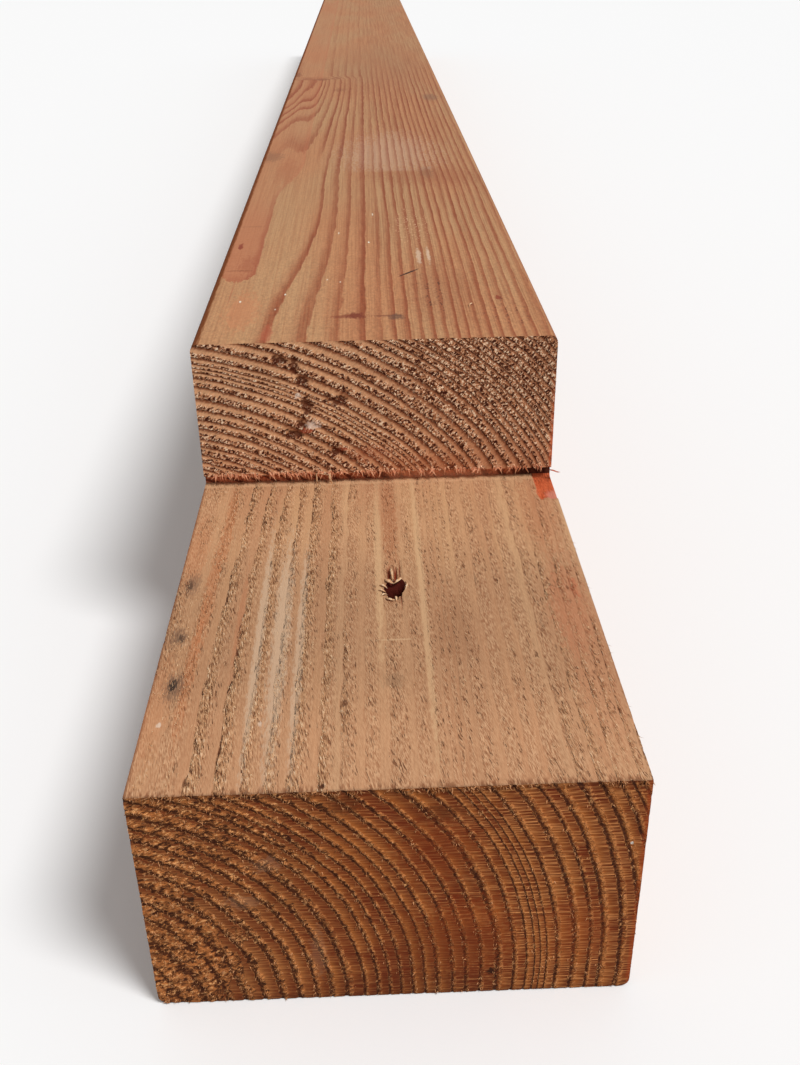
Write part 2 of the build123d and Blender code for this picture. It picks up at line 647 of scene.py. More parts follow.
depths = {"Line depth": 0.30, "Crumb height": 1.2, "Stroke depth": 0.9}
w, relief_values, (skin_in, line_depth, crumb_height, stroke_depth) = new_tree("saw relief", depths)
_, y, z = w.xyz


def on_plane(w, value, plane):
    """1 for points on a plane, given by one part of their place, and 0 off it."""
    return w.rise(w.maths("ABSOLUTE", value - plane), 0.3, 0.1)


def cross_cut_height(cut):
    """How far a cross cut stands out or in, in millimetres."""
    crumbs = (cut.specks - 0.5) * 0.8 + (cut.clumps - 0.5)
    return crumbs * cut.torn * crumb_height + (cut.ridge * 0.6 - cut.line) * line_depth


end_height = cross_cut_height(tongue_end_cut(w)) * on_plane(w, y, end_mm) * 0.7
above_kerf = w.rise(z, kerf_top_z * 1000 - 0.3, kerf_top_z * 1000 - 0.1)
shoulder_saw = shoulder_cut(w)
shoulder_height = cross_cut_height(shoulder_saw) - w.maths("MINIMUM", shoulder_saw.broken, 1.0) * 0.9
shoulder_height = shoulder_height * on_plane(w, y, shoulder_mm) * above_kerf
rip = RipCut(w)
lifted = (rip.strokes - 0.52) * rip.torn * stroke_depth + (rip.hatch - 0.5) * rip.soft * 0.4 - rip.pits * 0.4
lifted = lifted - rip.slots * 1.6
chip_floor = rip.chip * (1.0 + (rip.hatch - 0.5) * 0.4)
before_kerf_end = w.rise(y, kerf_end_y * 1000 - 0.1, kerf_end_y * 1000 - 0.4)
floor_height = (lifted * (1 - rip.chip) - chip_floor) * on_plane(w, z, floor_mm) * before_kerf_end
offset = w.scaled(w.joined(0.0, (end_height + shoulder_height) * -1, floor_height), 0.001)
moved = w.use("GeometryNodeSetPosition", None, {"Geometry": skin_in, "Offset": offset})
w.node("NodeGroupOutput", None, {0: moved})
grown(post, w.tree, relief_values)


# The finishes of the post. It is bare wood all over, with a finish for each way that it was cut:
# planed, sawn across and weathered, sawn across and fresh, ripped along the grain, and drilled.
def finish(name, write):
    """A material. write makes its nodes and gives the values and links of the shader's sockets."""
    material = bpy.data.materials.new(name)
    material.use_nodes = True
    material.node_tree.nodes.clear()
    w = Workings(material.node_tree)
    shader = w.use("ShaderNodeBsdfPrincipled", None, {"Specular IOR Level": 0.25, **write(w)})
    w.node("ShaderNodeOutputMaterial", None, {"Surface": shader})
    return material


def bumped(w, height, millimetres):
    """The fine relief that the mesh doesn't have, for a height from 0 to 1."""
    return w.use("ShaderNodeBump", None, {"Height": height, "Distance": millimetres / 1000})


top_mm = 145
wide_ring = 29
cutter_pitch = 4.6
stain_start = 84
stain_middle = -62.5
stain_half_width = 8.2
sliver_slant = 0.8


def planed(w):
    """Planed faces: pale spring wood, with a brown line at each ring's autumn edge."""
    x, y, z = w.xyz
    from_shoulder = y - shoulder_mm
    kinks = w.grain((2.4, 18, 2.4), 44, 3.0)
    count = w.rings.count + (kinks - 0.5) * 0.34
    season = w.maths("FRACT", count)
    year = w.maths("FLOOR", count)
    ring_lines = [w.rise(w.maths("ABSOLUTE", year - (wide_ring + i)), 0.6, 0.4) for i in range(3)]
    fading = w.maths("MAXIMUM", ring_lines[0] * w.rise(x, -20.0, -28.0), w.rise(x, -47.0, -53.0))
    fading = fading * w.rise(z, 120, 138) * w.rise(from_shoulder, 480, 340)
    nearby = w.rise(from_shoulder, 420, 200)
    strength = 0.50 + w.chance(year, 1) * 0.56 + (ring_lines[1] * 0.30 - ring_lines[2] * 0.25) * nearby
    strength = strength * (1 - fading) * (1 - w.rise(from_shoulder, 700, 980) * 0.75)
    shade = w.rise(season, 0.20, 0.90) * w.rise(season, 1.0, 0.94)
    line = w.rise(season, 0.52, 0.88) * w.rise(season, 1.0, 0.91)
    haze = w.grain((40, 240, 40), 41, 2.0)
    colour = w.blend(w.rise(haze, 0.35, 0.65), (198, 150, 106), (200, 140, 96))
    between = w.rise(w.grain((1.0, 110, 1.0), 45, 3.0, 0.65), 0.40, 0.66)
    colour = w.layered(
        colour,
        (between * (0.36 + w.rise(x, -30, 10) * 0.26), (164, 102, 64)),
        (shade * strength * 0.75, (170, 98, 62)),
        (line * strength * (0.62 + between * 0.38), (148, 72, 38)),
    )
    streaks = w.grain((0.5, 14, 0.5), 42, 3.0)
    grit = w.grain((1.1, 2.2, 1.1), 46, 3.0, 0.7)
    cutter_lines = w.grain((30, 0.6, 30), 43, 2.0)
    near_cut = w.rise(from_shoulder, 260, 0) * 0.56 + 0.34
    far = w.rise(from_shoulder, 60, 320) * 0.05
    colour = w.scaled(colour, 0.71 - far + streaks * 0.34 + cutter_lines * 0.10 + (grit - 0.5) * near_cut)
    widening = w.rise(from_shoulder, 250, 350) * 6
    ragged_end = (w.grain((1.6, 5, 1.6), 50, 3.0, 0.6) - 0.5) * 16
    past_end = w.use("ShaderNodeClamp", None, {"Value": (from_shoulder - stain_start + ragged_end) / 11})
    from_middle = x - stain_middle - widening
    reach = w.maths("SQRT", past_end) * stain_half_width + widening
    inside = reach - w.maths("ABSOLUTE", from_middle) - (kinks - 0.5) * 2.4
    stained = w.rise(inside, -0.5, 0.5) * w.rise(z, 142, 144) * (0.8 + haze * 0.4)
    side_rim = w.rise(inside, 4.5, 0.3) * w.rise(from_middle, 0, 4)
    rim = w.maths("MAXIMUM", side_rim, w.rise(from_shoulder, 98, 86) * 0.5)
    fresh_red = w.blend(rim * w.rise(from_shoulder, 330, 240), (184, 104, 70), (160, 74, 46))
    colour = w.blend(stained * (0.2 + w.rise(from_shoulder, 300, 150) * 0.4 + rim * 0.2), colour, fresh_red)
    white = (236, 226, 206)
    fray = w.grain((1.2, 3.6, 1.2), 48, 3.0, 0.6)
    marks = (
        (13, 112, 5, 18, (150, 66, 40), 0.3),
        (59, 30, 6, 2.4, (132, 62, 38), 0.7),
        (65.5, 31, 5, 5.0, (122, 50, 28), 0.9),
        (77, 30, 8, 1.6, (120, 64, 42), 0.6),
        (81.5, 28, 4, 4.6, (100, 70, 56), 0.7),
        (95.5, 120, 1.5, 17, (216, 186, 158), 0.7),
        (100.3, 122, 1.1, 17, (222, 192, 164), 0.7),
        (105, 60, 20, 60, (142, 80, 50), 0.22),
        (112, 306, 44, 34, (150, 80, 48), 0.30),
        (17, 40, 9, 34, (204, 128, 86), 0.45),
        (9, 102, 9, 1.3, (112, 62, 38), 0.35),
        (10, 186, 9, 1.8, (128, 76, 50), 0.25),
        (110, 318, 6, 24, (130, 84, 58), 0.4),
        (4, 380, 14, 22, (120, 84, 62), 0.4),
        (20, 330, 10, 50, (164, 92, 58), 0.35),
        (3, 820, 6, 26, (92, 48, 28), 0.4),
        (16, 786, 8, 12, (140, 80, 52), 0.4),
        (30, 780, 10, 12, (126, 70, 44), 0.5),
        (44, 786, 7, 12, (136, 78, 50), 0.4),
        (49, 703, 8, 14, (130, 70, 42), 0.35),
        (90, 900, 70, 260, (160, 108, 74), 0.35),
        (130.6, 645, 9, 26, (124, 90, 70), 0.5),
        (29.5, 10, 2.6, 16, (186, 94, 66), 0.45),
        (126.7, 51, 1.4, 4, (140, 50, 28), 0.8),
        (7, 145, 1.4, 7, (134, 44, 26), 0.8),
        (71.5, 148, 0.55, 2.4, white, 1.0),
        (74, 207, 0.5, 3.2, white, 0.7),
        (34, 63, 0.6, 1.6, white, 1.0),
        (15, 54, 0.5, 1.4, white, 0.9),
        (56, 168, 0.5, 2.2, white, 0.6),
        (52, 84, 0.45, 1.4, white, 0.6),
        (58, 80, 0.45, 1.4, white, 0.6),
        (31, 42, 0.45, 1.2, white, 0.6),
    )
    colour = w.marked(colour, fray, marks, level=top_mm)
    # A pale patch lies on the right part of the top face. It starts at a sharp edge about 325 mm past the
    # shoulder and is weaker where the rings darken.
    pale_patch = w.spot(at(88, 384, top_mm), (40, 100, mark_depth), fray, 1.2) * w.rise(from_shoulder, 319, 329)
    colour = w.blend(pale_patch * (0.34 - shade * 0.20), colour, (206, 174, 150))
    slanting = w.joined(x - y * sliver_slant, y, z)
    sliver_x, sliver_y, _ = at(89.5, 92, top_mm)
    sliver_middle = (sliver_x - sliver_y * sliver_slant, sliver_y, top_mm)
    colour = w.blend(w.spot(sliver_middle, (1.3, 8, mark_depth), fray, 0.4, slanting), colour, (64, 36, 24))
    dotted = w.rise(w.grain((1.1, 2.6, 1.1), 49, 2.0), 0.55, 0.62) * (0.3 + line)
    dark_dots = w.spot(at(99, 58, top_mm), (7, 34, mark_depth), fray)
    dark_dots = dark_dots + w.spot(at(129, 30, top_mm), (12, 28, mark_depth), fray) * 0.6
    colour = w.blend(w.maths("MINIMUM", dotted * dark_dots, 0.9), colour, (96, 54, 34))
    pale_dots = w.spot(at(94, 180, top_mm), (12, 46, mark_depth), fray) * w.rise(grit, 0.56, 0.66)
    colour = w.blend(pale_dots * 0.7, colour, (226, 184, 144))
    ragged = w.grain((0.6, 7, 1.2), 47, 3.0)
    # The left arris faces away from the lamp. A ragged dark brown strip of painted shade runs along it, and
    # it is made fully rough so that the sky's sheen stays off it.
    shaded_left_arris = w.rise(x + ragged * 1.8, -67.8, -69.2) * w.rise(z, 140.6, 142.0)
    colour = w.blend(shaded_left_arris * 0.95, colour, (118, 56, 12))
    right_arris = w.rise(x - ragged * 1.2, 70.0, 71.4) * w.rise(z, 140.6, 142.0)
    colour = w.blend(right_arris * 0.6, colour, (150, 72, 42))
    cutters = w.maths("SINE", y * (math.tau / cutter_pitch))
    height = streaks * 0.5 + cutters * 0.08 - line * 0.3 + cutter_lines * 0.15 + grit * near_cut
    return {"Base Color": colour, "Roughness": 0.62 + shaded_left_arris * 0.38, "Normal": bumped(w, height, 0.12)}


def tongue_end(w):
    """The tongue's end, weathered orange brown, with pale level saw lines on the smooth wood."""
    x, _, z = w.xyz
    cut = tongue_end_cut(w)
    left = w.rise(x, -5.0, -62.0)
    warm = w.blend(left, (172, 96, 40), (178, 114, 62))
    deep = w.blend(left, (120, 44, 6), (146, 80, 36))
    hue = w.rise(w.grain((16, 100, 9), 54, 2.0) + w.chance(cut.year, 5) * 0.3, 0.45, 0.85)
    colour = w.blend(hue, warm, deep)
    smooth_right = w.rise(x, 5, 40)
    # The saw's pale level lines are partly painted light on their crests. On the next line the hollows
    # between them are darkened, which is painted shade.
    colour = w.layered(
        colour,
        (w.rise(cut.season, 0.35, 0.98) * 0.8, (104, 38, 8)),
        (cut.saw_lines * (0.36 + smooth_right * 0.5), (232, 156, 92)),
    )
    colour = w.scaled(colour, 1 - cut.shaded_saw_hollows * (0.10 + smooth_right * 0.16))
    # The torn crumbs are dark in their pits and bright on their tips. The ridge beside each groove is pale,
    # and the groove is a dark line. This is partly the wood's own colour and partly painted shade and painted
    # highlight.
    crumbs = w.rise(cut.specks * 0.5 + cut.clumps * 0.5, 0.38, 0.56)
    torn = w.blend(crumbs, (58, 20, 4), (194, 118, 62))
    torn = w.blend(w.rise(cut.specks, 0.57, 0.65), torn, (240, 176, 114))
    colour = w.layered(
        colour,
        (cut.torn * 0.9, torn),
        (cut.ridge * (1 - cut.torn * 0.6) * 0.75, (222, 144, 82)),
        (cut.line * 0.9, (64, 21, 2)),
    )
    grey = (176, 134, 104)
    fray = w.grain((1.3, 100, 1.3), 55, 2.0)
    marks = (
        (37, 56.5, 5, 4, grey, 0.24),
        (29, 42, 6, 3.5, grey, 0.24),
        (50, 20, 3, 13, grey, 0.18),
        (60, 78, 6, 4, (90, 40, 10), 0.6),
        (87, 74, 7, 4, (90, 40, 10), 0.5),
        (95, 24, 18, 22, (146, 60, 14), 0.45),
        (86, 60, 16, 14, (140, 56, 12), 0.35),
        (86, 20, 24, 18, (108, 42, 8), 0.34),
        (74, 3, 48, 9, (92, 38, 10), 0.30),
        (127, 26, 13, 20, (148, 62, 16), 0.35),
        (14.5, 44, 1.6, 1.4, (48, 20, 6), 0.9),
        (102, 9, 1.8, 1.6, (48, 20, 6), 0.9),
        (141, 60, 0.7, 0.6, (250, 240, 226), 1.0),
    )
    colour = w.marked(colour, fray, marks, cut=end_mm)
    edges = w.rise(z, 79.5, 83.0) * 0.30 + w.rise(z, 3.0, 0.0) * 0.25
    colour = w.blend(w.rise(x + fray * 1.4, 71.4, 72.6) * 0.5, colour, (178, 74, 28))
    level = w.grain((22, 100, 18), 51) * 0.40 + (cut.rays - 0.5) * 0.08
    colour = w.scaled(colour, (0.86 + level) * (1 - edges))
    height = (cut.specks + cut.clumps) * cut.torn + cut.ridge * 0.5 - cut.line * 0.3 + cut.saw_lines * 0.1
    return {"Base Color": colour, "Roughness": 0.9, "Normal": bumped(w, height, 0.7)}


def shoulder(w):
    """The shoulder, freshly cut: pale smooth bands between torn ones full of pits and bright tips."""
    x, _, z = w.xyz
    cut = shoulder_cut(w)
    right = w.rise(x, -20.0, 40.0)
    low = w.rise(z, 108.0, 88.0)
    pale = w.blend(right, (230, 174, 130), (206, 146, 106))
    colour = w.blend(w.rise(cut.season, 0.66, 0.98), pale, (140, 80, 48))
    colour = w.scaled(colour, 0.40 + cut.rays * 0.40 + cut.specks * 0.72)
    # The torn crumbs are dark in their pits and bright on their tips. The ridge beside each groove is pale,
    # and the groove is a dark line. This is partly the wood's own colour and partly painted shade and painted
    # highlight.
    crumbs = w.rise(cut.specks * 0.7 + cut.clumps * 0.3, 0.43, 0.55)
    torn = w.blend(crumbs, (72, 25, 6), (208, 142, 98))
    tips = w.rise(cut.specks, 0.55, 0.61) * (1 - right * low * 0.5)
    torn = w.blend(tips, torn, (255, 228, 194))
    colour = w.layered(
        colour,
        (cut.torn, torn),
        (cut.ridge * (1 - cut.torn * 0.5) * 0.6, (246, 206, 170)),
        (cut.line * 0.85, (86, 38, 16)),
    )
    blot = w.maths("MINIMUM", cut.broken, 1.0) * w.rise(cut.specks, 0.84, 0.64)
    colour = w.blend(blot * 0.9, colour, (92, 38, 14))
    white = (250, 232, 216)
    fray = w.grain((1.0, 100, 1.0), 56, 2.0)
    marks = (
        (46.5, 109.5, 4, 2.2, white, 0.6),
        (41, 122.5, 1.6, 1.6, white, 0.6),
        (44, 107, 3.2, 1.4, (196, 88, 58), 0.6),
        (58, 98.5, 2.6, 1.4, (204, 100, 70), 0.5),
        (69, 96, 11, 5, (176, 98, 64), 0.4),
        (92, 90, 26, 6, (176, 98, 60), 0.30),
    )
    colour = w.marked(colour, fray, marks, cut=shoulder_mm)
    reddish = w.blend(low * 0.14, (255, 255, 255), (235, 170, 140))
    colour = w.vectors("MULTIPLY", colour, reddish)
    right_edge = w.rise(x + fray * 1.6, 71.4, 72.8) * w.rise(z, 140, 100)
    colour = w.blend(right_edge * 0.7, colour, (216, 104, 64))
    colour = w.scaled(colour, 0.83 + w.grain((22, 100, 18), 52) * 0.30)
    height = (cut.specks + cut.clumps * 0.5) * (cut.torn * 0.9 + 0.1) - cut.line * 0.3 + cut.ridge * 0.3
    return {"Base Color": colour, "Roughness": 0.85, "Normal": bumped(w, height, 0.55)}


def foot_end(w):
    """The foot end, a plain square saw cut."""
    cut = CrossCut(w, 0.30, 0.12, (0.85, 0.55), 0.6, 60)
    colour = w.blend(w.rise(cut.season, 0.30, 0.98), (186, 122, 76), (156, 90, 50))
    # The pale saw lines are partly painted light on their crests. The torn crumbs are dark in their pits and
    # pale on their tips, and each ring's groove is a dark line. This is partly the wood's own colour and
    # partly painted shade and painted highlight.
    colour = w.blend(cut.saw_lines * 0.4, colour, (214, 154, 108))
    torn = w.blend(w.rise(cut.specks, 0.38, 0.60), (110, 54, 24), (206, 144, 100))
    colour = w.layered(colour, (cut.torn, torn), (cut.line * 0.8, (90, 38, 12)))
    height = (cut.specks + cut.clumps * 0.6) * cut.torn - cut.line + cut.saw_lines * 0.16
    return {"Base Color": colour, "Roughness": 0.85, "Normal": bumped(w, height, 0.5)}


def ripped_floor(w):
    """The notch floor: smooth pale bands, and between them soft wood lifted in a fine slanted fuzz."""
    x, y, _ = w.xyz
    rip = RipCut(w)
    smooth = w.blend(w.rise(y, end_mm, shoulder_mm), (198, 144, 104), (206, 160, 116))
    smooth = w.blend(w.rise(w.grain((14, 120, 20), 61), 0.40, 0.62), smooth, (188, 136, 98))
    band = w.rise(rip.season, 0.48, 0.66) * w.rise(rip.season, 1.0, 0.90)
    colour = w.blend(band * w.chance(rip.year, 9) * 0.40, smooth, (216, 176, 134))
    colour = w.layered(
        colour,
        (w.chance(rip.year, 12) * 0.40, (186, 126, 88)),
        (rip.soft * (rip.patches * 0.9 - 0.1), (172, 118, 80)),
    )
    hatch = w.blend(w.rise(rip.hatch, 0.30, 0.70), (150, 92, 58), (238, 192, 148))
    colour = w.blend(rip.soft * 0.28 + 0.34 * (1 - band * 0.6), colour, hatch)
    # The lifted fibres run in dark and bright streaks, partly their own colour and partly painted shade and
    # painted highlight. The dark dashes among them are painted shadows cast by the fibres.
    strokes = w.blend(w.rise(rip.strokes, 0.36, 0.54), (112, 62, 32), (208, 156, 112))
    strokes = w.blend(w.rise(rip.strokes, 0.58, 0.68), strokes, (250, 216, 178))
    colour = w.layered(
        colour,
        (rip.torn * 0.84, strokes),
        (rip.pits * 0.75, (128, 72, 42)),
        (w.maths("MINIMUM", rip.nicks, 1.0) * 0.85, (92, 44, 20)),
    )
    streaks = w.grain((0.45, 16, 20), 62, 3.0)
    # The floor is a little lighter within about 40 to 90 mm of the shoulder, which is painted bounce light
    # from it. It is also lighter within 20 to 60 mm of the tongue's end.
    level = w.rise(y, shoulder_mm - 40, shoulder_mm - 90) * w.rise(y, end_mm + 20, end_mm + 60)
    colour = w.scaled(colour, 0.84 + streaks * 0.32 - level * 0.15)
    orange = (196, 116, 70)
    stain = (110, 84, 68)
    bleached = (210, 180, 150)
    fray = w.grain((0.7, 3.2, 20), 63, 3.0, 0.7)
    # A ragged dark brown line along the floor's left edge is painted shade from the shadowed side beyond it.
    colour = w.blend(w.rise(x + fray * 1.6, -70.6, -71.6) * 0.7, colour, (112, 60, 34))
    far_rim = w.rise(y + fray * 1.5, shoulder_mm - 1.6, shoulder_mm - 0.2)
    colour = w.blend(far_rim * 0.5, colour, (226, 178, 134))
    nibbled = w.rise(w.grain((1.3, 6, 30), 68, 2.0), 0.50, 0.60)
    at_lip = w.rise(y, end_mm + 3.4, end_mm + 0.9)
    colour = w.blend(nibbled * at_lip * 0.65, colour, (118, 62, 30))
    marks = (
        (13.6, -36, 2.6, 44, orange, 0.40),
        (11.9, -84, 2.7, 46, orange, 0.40),
        (10.6, -132, 2.4, 44, orange, 0.40),
        (4, -55, 5, 34, (204, 132, 88), 0.35),
        (3, -150, 5, 34, (204, 132, 88), 0.25),
        (24, -100, 1.4, 40, (184, 112, 74), 0.35),
        (76, -35, 4, 48, (176, 108, 70), 0.45),
        (136, -100, 8, 34, (190, 112, 76), 0.28),
        (140, -120, 12, 70, (190, 120, 84), 0.30),
        (140, -88, 2.0, 9, (196, 96, 62), 0.30),
        (135, -30, 10, 40, (186, 114, 74), 0.30),
        (31.3, -112, 1.9, 86, bleached, 0.6),
        (38.4, -114, 3.8, 82, bleached, 0.6),
        (44.9, -120, 1.9, 82, bleached, 0.55),
        (71.3, -60, 1.8, 80, (218, 178, 134), 0.5),
        (86.6, -80, 1.6, 130, (218, 178, 134), 0.5),
        (75, -139, 4, 6, (140, 106, 78), 0.45),
        (96, -112, 9, 24, (150, 102, 70), 0.30),
        (60, -149, 1.4, 2, (96, 52, 28), 0.8),
        (54, -186, 1.2, 1.4, (84, 44, 22), 0.9),
        (5, -157, 0.8, 1.5, (236, 218, 198), 0.55),
        (35, -158, 0.8, 1.5, (236, 218, 198), 0.45),
        (75, -116.5, 9, 0.6, (220, 184, 142), 0.45),
    )
    colour = w.marked(colour, fray, marks, level=floor_mm)
    wisps = w.grain((0.35, 2.2, 20), 64, 3.0, 0.7)
    smudges = (
        (5, -78, 3.4, 9, stain, 0.5),
        (4.2, -79, 1.5, 4.5, (66, 46, 36), 0.7),
        (4.4, -111, 3.4, 7, stain, 0.55),
        (5.4, -112, 1.3, 3, (66, 46, 36), 0.7),
        (6.8, -139, 3.8, 9, stain, 0.6),
        (6.5, -138, 1.8, 4, (50, 38, 32), 0.9),
    )
    colour = w.marked(colour, wisps, smudges, level=floor_mm, ragged=1.5)
    colour = w.blend(rip.slots, colour, (134, 54, 28))
    fresh = w.blend(w.rise(rip.hatch, 0.3, 0.7), (176, 72, 34), (218, 108, 64))
    pale_end = w.spot(at(144, -16.5, floor_mm), (4.4, 7.5, mark_depth), fray, 0.5)
    fresh = w.blend(pale_end * 0.6, fresh, (214, 146, 128))
    colour = w.blend(rip.chip, colour, fresh)
    ends = w.rise(y, end_mm + 1.2, end_mm) * 0.30
    colour = w.scaled(colour, 1 - ends)
    height = rip.strokes * rip.torn + rip.hatch * (0.30 + rip.soft * 0.45) + streaks * 0.15 - rip.pits
    height = height - rip.slots - rip.chip * 0.4 - rip.nicks
    return {"Base Color": colour, "Roughness": 0.8, "Normal": bumped(w, height, 0.5)}


def kerf_wall(w):
    """The kerf's back and roof, and the bolt hole: raw reddish wood, dark where the rings meet it, with
    painted shadow towards the kerf's right end and painted shade down the hole.
    """
    x, y, _ = w.xyz
    grain = w.grain((0.9, 1.2, 1.4), 71, 3.0, 0.65)
    season = w.maths("FRACT", w.rings.count + (grain - 0.5) * 0.5)
    colour = w.blend(w.rise(grain, 0.35, 0.65), (172, 84, 52), (226, 140, 100))
    # Over the raw wood go dark ring lines. The kerf then darkens towards the right, nearly to black at its
    # right end, which is painted shadow deep in the slot. A lighter band lies across its middle and left.
    colour = w.layered(
        colour,
        (w.band(season, 0.0, 0.1, 0.25, 0.6) * 0.85, (96, 34, 14)),
        (w.rise(x, 40, 70) * 0.4, (110, 46, 22)),
        (w.rise(x + grain * 3, 59, 62) * 0.85, (56, 18, 6)),
        (w.band(x, -2, 12, 38, 54) * 0.5, (248, 178, 138)),
    )
    # Down the bolt hole the wall is nearly black red, which is painted shade.
    in_hole = w.rise(y, shoulder_mm - 60, shoulder_mm - 65)
    colour = w.blend(in_hole, colour, (78, 16, 1))
    return {"Base Color": colour, "Roughness": 0.85, "Normal": bumped(w, grain, 0.5)}


finishes = {
    "tongue end": finish("sawn tongue end", tongue_end),
    "shoulder": finish("sawn shoulder", shoulder),
    "foot end": finish("sawn foot end", foot_end),
    "notch floor": finish("ripped notch floor", ripped_floor),
    "kerf back": finish("kerf and bolt hole", kerf_wall),
    "front face": finish("planed faces", planed),
}
finishes["bolt hole"] = finishes["kerf roof"] = finishes["kerf back"]
post_finishes = list(dict.fromkeys(finishes.values()))
for material in post_finishes:
    post.data.materials.append(material)
patch_at = post.data.attributes["patch"].data
patch_names = list(skin.patch_names)
for face in post.data.polygons:
    patch_name = patch_names[patch_at[face.index].value]
    face.material_index = post_finishes.index(finishes.get(patch_name, finishes["front face"]))
post.data.attributes.remove(post.data.attributes["patch"])

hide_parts("carport_post")
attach(post, "root")


# The torn fibres. Spring wood that the saws pulled out stands up in short pale tips on the cross
# cuts, and lies in longer slivers along the torn lines of the notch's floor.
def fibre_finish(w):
    """Pale on the fresh cuts, reddish at the kerf, and weathered brown on the tongue's end."""
    _, y, z = w.xyz
    pale = w.rise(w.grain((0.7, 1.6, 0.7), 81, 1.0), 0.35, 0.65)
    of_floor = w.blend(pale, (196, 142, 96), (242, 208, 164))
    of_shoulder = w.blend(pale, (196, 128, 88), (250, 204, 166))
    fresh = w.blend(w.rise(z, floor_mm + 3.5, floor_mm + 4.5), of_floor, of_shoulder)
    by_kerf = w.band(z, floor_mm + 2, floor_mm + 3, floor_mm + 5, floor_mm + 6)
    fresh = w.blend(by_kerf * 0.7, fresh, (206, 128, 92))
    weathered = w.blend(pale, (144, 88, 46), (214, 156, 108))
    at_end = w.rise(y, end_mm + 2.5, end_mm + 0.5)
    return {"Base Color": w.blend(at_end, fresh, weathered), "Roughness": 0.7}


fibre_material = finish("torn fibres", fibre_finish)


def grow_fibres(name, patch, mask, way, thickness, length, lean, per_square_cm, seed):
    """Fibres on one of the post's faces. mask gives where they stand, and way how they point."""
    numbers = {"Thickness": thickness, "Length": length, "Lean": lean}
    numbers.update({"Fibres per square centimetre": per_square_cm, "Seed": seed})
    w, values, (skin_in, thick, long, lean_by, density, seed_in) = new_tree(name, numbers)
    of_patch = w.use("GeometryNodeInputMaterialIndex") - post_finishes.index(finishes[patch])
    on_patch = w.rise(w.maths("ABSOLUTE", of_patch), 0.5, 0.1)
    chosen = {"Mesh": skin_in, "Density": density * 10000 * mask(w) * on_patch, "Seed": seed_in}
    points = w.use("GeometryNodeDistributePointsOnFaces", None, chosen)
    sizes = {"Vertices": 3, "Side Segments": 3, "Radius Top": 0.0, "Radius Bottom": thick, "Depth": long}
    cone = w.use("GeometryNodeMeshCone", None, sizes)
    _, _, up = w.parts(w.use("GeometryNodeInputPosition"))
    bow = w.maths("POWER", up / long, 2.0) * long * 0.35
    bowed = {"Geometry": cone, "Offset": w.joined(bow, 0.0, thick * -0.8)}
    bent = w.use("GeometryNodeSetPosition", None, bowed)
    random = {"Min": (-1.0, -1.0, -1.0), "Max": (1.0, 1.0, 1.0), "Seed": seed_in}
    jitter = w.use("FunctionNodeRandomValue", {"data_type": "FLOAT_VECTOR"}, random)
    pointing = w.vectors("ADD", way, w.scaled(jitter, lean_by))
    turned = w.use("FunctionNodeAlignRotationToVector", {"axis": "Z"}, {"Vector": pointing})
    spun = w.use("FunctionNodeRandomValue", {"data_type": "FLOAT"}, {2: 0.0, 3: math.tau, "Seed": seed_in}, 1)
    spin = w.use("FunctionNodeAxisAngleToRotation", None, {"Axis": (0.0, 0.0, 1.0), "Angle": spun})
    turned = w.use("FunctionNodeRotateRotation", {"rotation_space": "LOCAL"}, {0: turned, 1: spin})
    size_range = {2: 0.45, 3: 1.25, "Seed": seed_in + 1}
    size = w.use("FunctionNodeRandomValue", {"data_type": "FLOAT"}, size_range, 1)
    each = {"Points": points, "Instance": bent, "Rotation": turned, "Scale": w.joined(size, size, size)}
    fibres = w.use("GeometryNodeInstanceOnPoints", None, each)
    whole = w.use("GeometryNodeRealizeInstances", None, {"Geometry": fibres})
    painted = w.use("GeometryNodeSetMaterial", None, {"Geometry": whole, "Material": fibre_material})
    w.node("NodeGroupOutput", None, {0: painted})
    piece = placed(name, post.data)
    grown(piece, w.tree, values)
    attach(piece, "root")


# Where the fibres stand: on the torn wood of each cut, at the kerf's upper edge and at the end's lip.
def torn_end(w):
    cut = tongue_end_cut(w)
    return (cut.torn + cut.ridge * 0.4) * w.rise(cut.specks, 0.45, 0.6)


def torn_shoulder(w):
    cut = shoulder_cut(w)
    return cut.torn * w.rise(cut.specks, 0.45, 0.6)


def torn_floor(w):
    rip = RipCut(w)
    return rip.torn * w.rise(rip.strokes, 0.45, 0.6) + rip.soft * 0.03


def frayed_edge(w):
    x, _, z = w.xyz
    clumps = w.grain((2.6, 2.6, 30), 82, 2.0) + w.rise(x, 0.0, -50.0) * 0.08
    return w.rise(z, kerf_top_z * 1000 + 1.1, kerf_top_z * 1000 + 0.6) * w.rise(clumps, 0.44, 0.58)


def frayed_lip(w):
    _, _, z = w.xyz
    clumps = w.grain((2.4, 2.4, 30), 83, 2.0)
    return w.rise(z, floor_mm - 1.2, floor_mm - 0.6) * w.rise(clumps, 0.42, 0.56)


grow_fibres("end_fibres", "tongue end", torn_end, (0.0, -1.0, 0.1), 0.00018, 0.0009, 0.7, 200.0, 1)
grow_fibres("shoulder_fibres", "shoulder", torn_shoulder, (0.0, -1.0, 0.1), 0.00017, 0.0009, 0.8, 260.0, 2)
grow_fibres("floor_fibres", "notch floor", torn_floor, (0.22, -1.0, 0.14), 0.00012, 0.0020, 0.20, 180.0, 3)
grow_fibres("kerf_fibres", "shoulder", frayed_edge, (0.1, -0.25, -1.0), 0.00056, 0.0029, 0.6, 300.0, 4)
grow_fibres("lip_fibres", "tongue end", frayed_lip, (0.1, -1.0, 0.45), 0.00025, 0.0017, 0.55, 420.0, 5)

